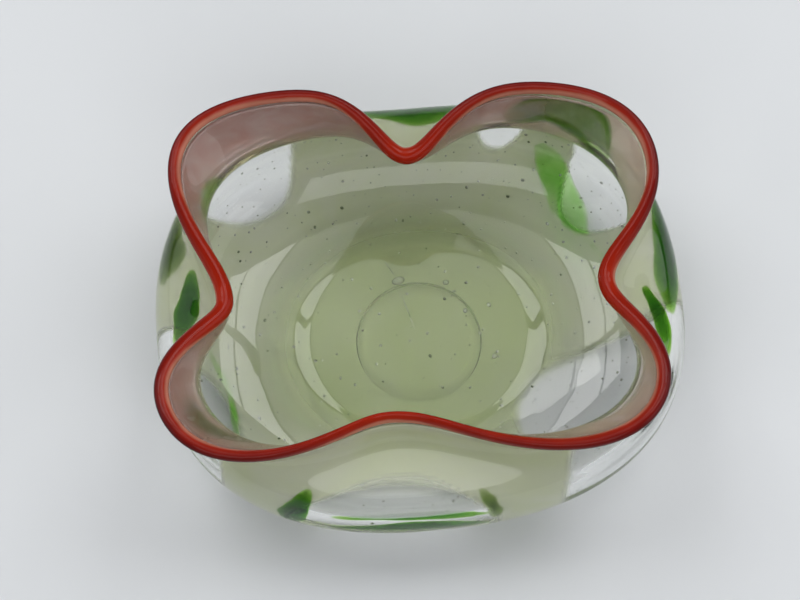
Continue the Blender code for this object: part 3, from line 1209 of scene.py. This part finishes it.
@dataclass
class LipVeil:
    """A thin veil of smoky pink that the trail left down the inside of the wall."""

    columns: int = 300
    steps: int = 26
    depth: float = 0.0006
    thickness: float = 0.0011
    reach: float = 0.44
    least: float = 0.00002
    top_level: float = 1.995
    fall: float = 1.3
    faintest: float = 0.12
    patches: tuple[tuple[float, float, float], ...] = (
        (130, 32, 0.88), (66, 16, 0.45), (208, 24, 0.40), (315, 30, 0.10))
    cover_gain: float = 2.0
    milk_gain: float = 2.5
    milkiness: float = 0.45
    least_milk: float = 0.3
    finish: MilkyGlass = MilkyGlass("smoky_pink_veil", VEIL_PINK, (0.86, 0.66, 0.60),
                                    (0.94, 0.84, 0.80), 0.012)

    def strength(self, theta: np.ndarray) -> np.ndarray:
        """How strong the veil is in each direction.

        Args:
            theta: Directions in radians.

        Returns:
            Shares from 0 to 1.
        """
        total = np.full_like(theta, self.faintest)
        for middle, spread, height in self.patches:
            turn = (np.degrees(theta) - middle + 180) % 360 - 180
            total = total + height * np.exp(-(turn / spread) ** 2)
        return np.clip(total, 0, 1)

    def build(self) -> bpy.types.Object:
        """Build the veil.

        Returns:
            The object.
        """
        theta = FORM.columns(self.columns)
        levels = np.linspace(2.0 - self.reach, self.top_level, self.steps)
        grid_theta, grid_level = np.broadcast_arrays(theta[None, :], levels[:, None])
        rise = np.clip((grid_level - levels[0]) / self.reach, 0, 1)
        thick = self.least + self.thickness * self.strength(grid_theta) * rise ** self.fall
        start = FORM.wall - self.depth
        outer = FORM.at(grid_theta, grid_level, start - thick)
        inner = FORM.at(grid_theta, grid_level, np.full_like(thick, start))
        draft = MeshDraft()
        numbers = [draft.ring(FIT(ring)) for ring in list(outer) + list(inner[::-1])]
        for lower, upper in zip(numbers, numbers[1:] + numbers[:1]):
            draft.join(lower, upper)
        item = draft.build("lip_veil", self.finish.material())
        strength = self.strength(grid_theta)
        cover = np.clip(strength * rise * self.cover_gain, 0, 1)
        milk = self.milkiness * np.clip(rise * self.milk_gain, 0, 1)
        milk = milk * (self.least_milk + (1 - self.least_milk) * strength)
        for name, values in (("cover", cover), ("milk", milk)):
            set_attribute(item, name, np.concatenate([values.ravel(), values[::-1].ravel()]))
        return attach(item, Slot.RED, "lip_wrap")


# How deep under the outside the streaks lie that are picked up on the inner gather
INNER_DEPTH = 0.0033


@dataclass(frozen=True)
class StreakShape:
    """One streak of green glass.

    The route is in degrees and levels, the sizes in metres. The rim is the share of the glass that
    gathered along the streak's edges, and the depth is how deep its middle lies under the outside.
    """

    node: str
    route: tuple[tuple[float, float], ...]
    width: float
    thickness: float
    slot: Slot
    rim: float = 0.0
    depth: float = 0.0007


@dataclass
class GreenStreaks:
    """The streaks of stronger green glass, drawn out along the wall. The dark one at the back
    shoulder is a painted reflection of the dark room.

    The tip is how far into its swell a streak starts, as a share of its length, and a larger taper
    gives it finer ends.
    """

    steps: int = 60
    lanes: int = 22
    random_seed: int = 7
    tip: float = 0.015
    taper: float = 0.55
    end_thinning: float = 0.7
    ripples: tuple[int, ...] = (1, 2, 3)
    waviness: float = 0.16
    rim_strength: float = 1.5
    rim_place: float = 0.72
    rim_spread: float = 0.16
    least: float = 1e-6
    level_limits: tuple[float, float] = (0.02, 1.97)
    finishes: dict[Slot, InnerColour] = field(default_factory=lambda: {
        Slot.BRIGHT: InnerColour("bright_green_streak", BRIGHT_GREEN, 0.009, (0.84, 0.92, 0.78)),
        Slot.DARK: InnerColour("dark_green_streak", DARK_GREEN, 0.009, (0.74, 0.86, 0.68)),
        Slot.OLIVE: InnerColour("olive_green_streak", OLIVE_GREEN, 0.009, (0.84, 0.88, 0.76)),
    })
    shapes: tuple[StreakShape, ...] = (
        StreakShape("back_right_swirl", ((65, 1.76), (55, 1.88), (45, 1.85), (35, 1.64)),
                    0.0125, 0.0010, Slot.DARK, 0.5, INNER_DEPTH),
        StreakShape("back_right_band", ((58, 0.84), (46, 0.56), (31, 0.40), (10, 0.47)),
                    0.0150, 0.0012, Slot.BRIGHT, 0.2, INNER_DEPTH),
        StreakShape("right_shoulder_streak", ((30, 1.20), (15, 1.29), (-3, 1.36)),
                    0.0150, 0.0021, Slot.DARK, 0.0, 0.0013),
        StreakShape("right_pinch_streak", ((3, 1.53), (-5, 1.46), (-14, 1.45)),
                    0.0060, 0.0014, Slot.DARK, 0.0, 0.0010),
        StreakShape("left_lobe_sliver", ((147, 1.60), (154, 1.71), (164, 1.72)),
                    0.0050, 0.0009, Slot.BRIGHT, 0.0, INNER_DEPTH),
        StreakShape("left_shoulder_streak", ((158, 1.36), (167, 1.34), (176, 1.26)),
                    0.0125, 0.0021, Slot.OLIVE, 0.0, 0.0013),
        StreakShape("left_pinch_streak", ((173, 1.56), (182, 1.50), (191, 1.40)),
                    0.0076, 0.0016, Slot.DARK, 0.0, 0.0011),
        StreakShape("left_inner_line", ((185, 0.52), (199, 0.44), (214, 0.55)),
                    0.0034, 0.0012, Slot.BRIGHT, 0.0, INNER_DEPTH),
        StreakShape("front_left_patch", ((207, 1.82), (217, 1.84), (228, 1.72)),
                    0.0070, 0.0007, Slot.OLIVE, 0.0, INNER_DEPTH),
        StreakShape("front_left_streak", ((238, 0.92), (240, 1.18), (242, 1.45)),
                    0.0080, 0.0018, Slot.DARK, 0.0, 0.0012),
        StreakShape("front_base_streak", ((248, 1.02), (262, 1.07), (275, 1.05), (288, 0.98)),
                    0.0050, 0.0015, Slot.DARK, 0.0, 0.0010),
        StreakShape("front_right_streak", ((289, 1.08), (289, 1.24), (287, 1.42)),
                    0.0050, 0.0008, Slot.OLIVE),
        # Painted reflection: this dark green stands where the back shoulder reflects the dark room.
        StreakShape("back_shoulder_streak", ((112, 1.28), (99, 1.32), (85, 1.32), (70, 1.27)),
                    0.0140, 0.0015, Slot.DARK, 0.0, 0.0013),
    )

    def build_one(self, shape: StreakShape, material: bpy.types.Material,
                  draws: np.random.Generator) -> bpy.types.Object:
        """Build one streak.

        Args:
            shape: The streak.
            material: Its finish.
            draws: The source of its small irregularities.

        Returns:
            The object.
        """
        knots = np.array(shape.route, float)
        knots[:, 0] = np.radians(knots[:, 0])
        places = np.linspace(0, len(knots) - 1, self.steps)
        path = smooth_path(knots, places)
        theta, level = path[:, 0], path[:, 1]
        here = FORM.outside(theta, level)
        per_turn = (FORM.outside(theta + COARSE_STEP, level) - here) / COARSE_STEP
        per_level = (here - FORM.outside(theta, level - COARSE_STEP)) / COARSE_STEP
        ahead = np.gradient(here, axis=0)
        side = np.cross(np.cross(per_turn, per_level), ahead)
        side /= np.linalg.norm(side, axis=1, keepdims=True)
        s = np.linspace(0, 1, self.steps)
        swell = np.sin((s * (1 - 2 * self.tip) + self.tip) * math.pi) ** self.taper
        waves = sum(np.sin(FULL_TURN * (s * k + draws.random())) / k for k in self.ripples)
        half = shape.width / 2 * swell * (1 + self.waviness * waves)
        across = np.sin(np.linspace(-1, 1, self.lanes) * math.pi / 2)
        grid = np.empty((self.steps, self.lanes, 2))
        for step in range(self.steps):
            axes = np.stack([per_turn[step], per_level[step]], axis=1)
            sideways = np.linalg.lstsq(axes, side[step] * half[step], rcond=None)[0]
            grid[step] = path[step] + across[:, None] * sideways
        dome = np.sqrt(np.clip(1 - across ** 2, 0, 1))
        rims = np.exp(-((np.abs(across) - self.rim_place) / self.rim_spread) ** 2)
        profile = (dome * (1 - shape.rim)
                   + shape.rim * rims * np.sqrt(dome) * self.rim_strength)
        ends = np.clip(np.sin(s * math.pi), 0, 1) ** self.end_thinning
        thick = shape.thickness * ends[:, None] * profile[None, :] + self.least
        turns, levels = grid[..., 0], np.clip(grid[..., 1], *self.level_limits)
        outer_face = FORM.at(turns, levels, shape.depth - thick / 2)
        inner_face = FORM.at(turns, levels, shape.depth + thick / 2)
        rings = list(FIT(np.concatenate([outer_face, inner_face[:, ::-1]], axis=1)))
        draft = MeshDraft()
        draft.lathe(rings, rings[0].mean(0), rings[-1].mean(0))
        return draft.build(shape.node + "_glass", material)

    def build(self) -> None:
        """Build all the streaks."""
        draws = np.random.default_rng(self.random_seed)
        materials = {slot: finish.material() for slot, finish in self.finishes.items()}
        for shape in self.shapes:
            item = self.build_one(shape, materials[shape.slot], draws)
            attach(item, shape.slot, shape.node)


@dataclass
class Seeds:
    """Seeds of air in the base and the lower wall, with one long bubble on a thread.

    The small seeds are strewn by Geometry Nodes, most of them close to the smallest radius. The
    larger ones are given by their places and radii in metres.
    """

    density: float = 40000.0
    levels: tuple[float, ...] = (0.0, 0.1, 0.2, 0.3, 0.45, 0.6, 0.8, 1.0)
    depth: float = 0.0016
    scatter: float = 0.0008
    sheet_columns: int = 60
    tumble: tuple[float, float, float] = (0.4, 0.4, FULL_TURN)
    bead_shape: tuple[float, float, float] = (1.25, 1.0, 0.8)
    rarity: float = 3.0
    smallest: float = 0.00015
    largest: float = 0.00052
    random_seed: int = 11
    # The small seeds' skin, with painted highlight and painted shade.
    finish: SeedGlass = SeedGlass("seed_skin")
    bubble_shape: tuple[float, float, float] = (1.15, 1.0, 0.8)
    long_place: tuple[float, float] = (-0.0065, 0.0185)
    long_sizes: tuple[float, float, float] = (0.0021, 0.0013, 0.0011)
    long_turn: float = 0.35
    thread_radius: float = 0.00014
    threads: tuple[tuple[str, tuple[float, float], float, float], ...] = (
        ("bubble_thread_back", (-0.0089, 0.0222), 0.0036, 2.15),
        ("bubble_thread_front", (-0.0035, 0.0085), 0.0078, 1.92))
    bubble_turn: float = 1.3
    around: int = 24
    rises: int = 15
    # The larger bubbles' skin: clearer, mostly white as a painted highlight, with paler painted
    # shade.
    bubble_finish: SeedGlass = SeedGlass("bubble_skin", 0.80, (0.80, 0.84, 0.74))
    big_seeds: tuple[tuple[float, float, float], ...] = (
        (0.0085, 0.0180, 0.00085), (0.0145, 0.0085, 0.00075), (0.0220, 0.0105, 0.00070),
        (0.0235, -0.0065, 0.00080), (-0.0120, -0.0030, 0.00050), (0.0110, 0.0150, 0.00050),
        (-0.0150, 0.0160, 0.00050), (0.0190, 0.0010, 0.00060),
    )

    def sheet(self) -> bpy.types.Object:
        """A hidden sheet just under the bowl's inside, that the seeds are strewn over.

        Returns:
            The object that carries the tree.
        """
        draft = MeshDraft()
        theta = FORM.columns(self.sheet_columns)
        numbers = []
        for level in self.levels:
            rows = np.full_like(theta, level)
            numbers.append(draft.ring(FORM.at(theta, rows, FORM.thickness(rows) - self.depth)))
        draft.cap(numbers[0][::-1], np.array([0.0, 0.0, FORM.base - self.depth]))
        for lower, upper in zip(numbers, numbers[1:]):
            draft.join(lower, upper)
        return draft.build("seed_sheet", self.finish.material())

    def tree(self) -> bpy.types.NodeTree:
        """The tree that strews seeds of many sizes.

        Returns:
            The tree.
        """
        tree = bpy.data.node_groups.new("strew_seeds", "GeometryNodeTree")
        face = tree.interface
        face.new_socket("Geometry", in_out="INPUT", socket_type="NodeSocketGeometry")
        for name, kind in (("Seeds per Square Metre", "NodeSocketFloat"),
                           ("Smallest Radius", "NodeSocketFloat"),
                           ("Largest Radius", "NodeSocketFloat"), ("Seed", "NodeSocketInt"),
                           ("Skin", "NodeSocketMaterial")):
            face.new_socket(name, in_out="INPUT", socket_type=kind)
        face.new_socket("Geometry", in_out="OUTPUT", socket_type="NodeSocketGeometry")
        add = tree.nodes.new
        source, sink = add("NodeGroupInput"), add("NodeGroupOutput")
        strew = add("GeometryNodeDistributePointsOnFaces")
        lift = add("GeometryNodeSetPosition")
        height = add("FunctionNodeRandomValue")
        height.data_type = "FLOAT_VECTOR"
        height.inputs[0].default_value = (0.0, 0.0, -self.scatter)
        height.inputs[1].default_value = (0.0, 0.0, self.scatter)
        size = add("FunctionNodeRandomValue")
        size.data_type = "FLOAT"
        power = add("ShaderNodeMath")
        power.operation = "POWER"
        power.inputs[1].default_value = self.rarity
        stretch = add("ShaderNodeMapRange")
        turn = add("FunctionNodeRandomValue")
        turn.data_type = "FLOAT_VECTOR"
        turn.inputs[1].default_value = self.tumble
        bead = add("GeometryNodeMeshIcoSphere")
        bead.inputs["Radius"].default_value = 1.0
        bead.inputs["Subdivisions"].default_value = 2
        flatten = add("GeometryNodeTransform")
        flatten.inputs["Scale"].default_value = self.bead_shape
        place = add("GeometryNodeInstanceOnPoints")
        real = add("GeometryNodeRealizeInstances")
        smooth = add("GeometryNodeSetShadeSmooth")
        paint = add("GeometryNodeSetMaterial")
        link = tree.links.new
        link(source.outputs["Geometry"], strew.inputs["Mesh"])
        link(source.outputs["Seeds per Square Metre"], strew.inputs["Density"])
        link(source.outputs["Seed"], strew.inputs["Seed"])
        link(strew.outputs["Points"], lift.inputs["Geometry"])
        link(height.outputs[0], lift.inputs["Offset"])
        link(lift.outputs["Geometry"], place.inputs["Points"])
        link(size.outputs[1], power.inputs[0])
        link(power.outputs[0], stretch.inputs["Value"])
        link(source.outputs["Smallest Radius"], stretch.inputs["To Min"])
        link(source.outputs["Largest Radius"], stretch.inputs["To Max"])
        link(bead.outputs["Mesh"], flatten.inputs["Geometry"])
        link(flatten.outputs["Geometry"], place.inputs["Instance"])
        link(turn.outputs[0], place.inputs["Rotation"])
        link(stretch.outputs["Result"], place.inputs["Scale"])
        link(place.outputs["Instances"], real.inputs["Geometry"])
        link(real.outputs["Geometry"], smooth.inputs["Geometry"])
        link(smooth.outputs["Geometry"], paint.inputs["Geometry"])
        link(source.outputs["Skin"], paint.inputs["Material"])
        link(paint.outputs["Geometry"], sink.inputs["Geometry"])
        return tree

    def strewn(self, material: bpy.types.Material) -> bpy.types.Object:
        """Strew the small seeds.

        Args:
            material: Their finish.

        Returns:
            The object.
        """
        sheet = self.sheet()
        tree = self.tree()
        modifier = sheet.modifiers.new("seeds", "NODES")
        modifier.node_group = tree
        settings = {"Seeds per Square Metre": self.density,
                    "Smallest Radius": self.smallest, "Largest Radius": self.largest,
                    "Seed": self.random_seed, "Skin": material}
        for item in tree.interface.items_tree:
            if item.item_type == "SOCKET" and item.in_out == "INPUT" and item.name in settings:
                modifier[item.identifier] = settings[item.name]
        sheet.update_tag()
        graph = bpy.context.evaluated_depsgraph_get()
        mesh = bpy.data.meshes.new_from_object(sheet.evaluated_get(graph))
        sheet.modifiers.remove(modifier)
        bpy.data.objects.remove(sheet)
        item = bpy.data.objects.new("air_seeds", mesh)
        bpy.context.scene.collection.objects.link(item)
        return item

    def bead(self, centre: np.ndarray, sizes: np.ndarray, turn: float, name: str,
             material: bpy.types.Material) -> bpy.types.Object:
        """One larger bubble.

        Args:
            centre: Its middle.
            sizes: Its half sizes.
            turn: How far its long axis is turned, in radians.
            name: The object's name.
            material: Its finish.

        Returns:
            The object.
        """
        draft = MeshDraft()
        around = np.linspace(0, FULL_TURN, self.around, endpoint=False)
        rings = []
        for rise in np.linspace(-math.pi / 2, math.pi / 2, self.rises)[1:-1]:
            local = np.column_stack([np.full(self.around, math.sin(rise)) * sizes[0],
                                     np.cos(around) * math.cos(rise) * sizes[1],
                                     np.sin(around) * math.cos(rise) * sizes[2]])
            rings.append(self.turned(local, turn) + centre)
        ends = self.turned(np.array([[-sizes[0], 0, 0], [sizes[0], 0, 0]]), turn) + centre
        draft.lathe(rings, ends[0], ends[1])
        return draft.build(name, material)

    @staticmethod
    def turned(points: np.ndarray, turn: float) -> np.ndarray:
        """Points turned about the upright axis by an angle in radians."""
        cos, sin = math.cos(turn), math.sin(turn)
        spin = np.array([[cos, -sin, 0], [sin, cos, 0], [0, 0, 1]])
        return points @ spin.T

    def build(self) -> None:
        """Build the seeds, the larger bubbles, the long one and its threads."""
        material = self.finish.material()
        attach(self.strewn(material), Slot.CLEAR)
        clear = self.bubble_finish.material()
        height = FORM.base - self.depth
        for index, (x, y, radius) in enumerate(self.big_seeds):
            bubble = self.bead(np.array([x, y, height]), np.array(self.bubble_shape) * radius,
                               index * self.bubble_turn, f"bubble_{index + 1}", clear)
            attach(bubble, Slot.CLEAR)
        long_bubble = self.bead(np.array([*self.long_place, height]), np.array(self.long_sizes),
                                self.long_turn, "long_bubble", clear)
        attach(long_bubble, Slot.CLEAR)
        for name, place, half_length, turn in self.threads:
            sizes = np.array([half_length, self.thread_radius, self.thread_radius])
            attach(self.bead(np.array([*place, height]), sizes, turn, name, material), Slot.CLEAR)


# ------------------------------------------------------------------------------------------------
# Stage


@dataclass
class Stage:
    """The table, the room's light and the camera."""

    target: tuple[float, float, float] = (-0.00594, 0.00415, 0.030)
    elevation: float = 70.0
    distance: float = 0.700
    lens_length: float = 103.59
    sensor_width: float = 36.0
    table_radii: tuple[float, ...] = (0.1, 0.4, 1.2, 3.0)
    table_sides: int = 64
    table_gap: float = 0.00005
    room_colour: tuple[float, float, float] = (0.93, 0.96, 1.0)
    room_light: float = 0.15
    window_lean: float = 22.0
    window_distance: float = 2.0
    pane: tuple[float, float] = (0.56, 0.56)
    pane_columns: tuple[float, ...] = (-1.30, -0.68, 0.68, 1.30)
    pane_rows: tuple[float, ...] = (-0.31, 0.31)
    pane_radiance: float = 3.9
    panels: tuple[tuple[str, tuple[float, float, float], tuple[float, float], float], ...] = (
        ("ceiling_panel", (0.0, 0.75, 1.85), (0.72, 1.20), 1.3),
        ("front_panel", (0.0, -1.5, 1.8), (2.2, 1.2), 2.0),
        ("right_panel", (2.0, -0.2, 0.9), (2.4, 1.2), 1.2),
        ("left_panel", (-2.0, 0.0, 0.9), (2.4, 1.2), 0.7),
    )
    glass_bounces: int = 64
    clear_bounces: int = 40
    glossy_bounces: int = 8
    diffuse_bounces: int = 24

    def table(self) -> None:
        """Lay the table."""
        draft = MeshDraft()
        top = CAD_LOW[2] - self.table_gap
        around = np.linspace(0, FULL_TURN, self.table_sides, endpoint=False)
        numbers = [draft.ring(np.column_stack([np.cos(around) * radius, np.sin(around) * radius,
                                               np.full_like(around, top)]))
                   for radius in self.table_radii]
        draft.cap(numbers[0], np.array([0, 0, top]))
        for inner, outer in zip(numbers, numbers[1:]):
            draft.join(outer, inner)
        table = draft.build("table", TableTop().material())
        if table.data.polygons[0].normal.z < 0:
            table.data.flip_normals()

    def light(self) -> None:
        """Set up the soft light of the room, its panes overhead and the panels round it."""
        world = bpy.data.worlds.new("room")
        bpy.context.scene.world = world
        world.use_nodes = True
        background = world.node_tree.nodes["Background"]
        background.inputs["Color"].default_value = (*self.room_colour, 1.0)
        background.inputs["Strength"].default_value = self.room_light
        lean = math.radians(self.window_lean)
        out = Vector((0, math.sin(lean), math.cos(lean)))
        along = Vector((1, 0, 0))
        upward = out.cross(along)
        for row, beyond in enumerate(self.pane_rows):
            for column, over in enumerate(self.pane_columns):
                place = out * self.window_distance + along * over + upward * beyond
                self.lamp(f"pane_{row}_{column}", place, out, self.pane, self.pane_radiance)
        for name, place, size, radiance in self.panels:
            self.lamp(name, Vector(place), Vector(place), size, radiance)

    @staticmethod
    def lamp(name: str, place: Vector, facing: Vector, size: tuple[float, float],
             radiance: float) -> None:
        """Hang one flat soft light.

        Args:
            name: Its name.
            place: Its middle.
            facing: The direction that its back points in.
            size: Its width and height.
            radiance: How bright it is.
        """
        light = bpy.data.lights.new(name, "AREA")
        light.shape = "RECTANGLE"
        light.size, light.size_y = size
        light.energy = radiance * size[0] * size[1] * math.pi
        item = bpy.data.objects.new(name, light)
        item.location = place
        item.rotation_euler = facing.to_track_quat("Z", "Y").to_euler()
        bpy.context.scene.collection.objects.link(item)

    def camera(self) -> None:
        """Place the camera."""
        lens = bpy.data.cameras.new("camera")
        lens.sensor_width = self.sensor_width
        lens.lens = self.lens_length
        item = bpy.data.objects.new("camera", lens)
        angle = math.radians(self.elevation)
        back = Vector((0, -math.cos(angle), math.sin(angle)))
        item.location = Vector(self.target) + back * self.distance
        item.rotation_euler = (-back).to_track_quat("-Z", "Y").to_euler()
        bpy.context.scene.collection.objects.link(item)
        bpy.context.scene.camera = item

    def build(self) -> None:
        """Build the stage and set how light is traced and shown."""
        self.table()
        self.light()
        self.camera()
        scene = bpy.context.scene
        scene.view_settings.view_transform = "Standard"
        scene.cycles.max_bounces = self.glass_bounces
        scene.cycles.transmission_bounces = self.glass_bounces
        scene.cycles.transparent_max_bounces = self.clear_bounces
        scene.cycles.glossy_bounces = self.glossy_bounces
        scene.cycles.diffuse_bounces = self.diffuse_bounces


def main() -> None:
    """Build the bowl and the stage, piece by piece."""
    logging.basicConfig(level=logging.INFO, format="%(name)s %(message)s")
    Stage().build()
    GlassBody().build()
    GreenGather().build()
    LipTrail().build()
    LipVeil().build()
    GreenStreaks().build()
    Seeds().build()


if __name__ == "__main__":
    main()
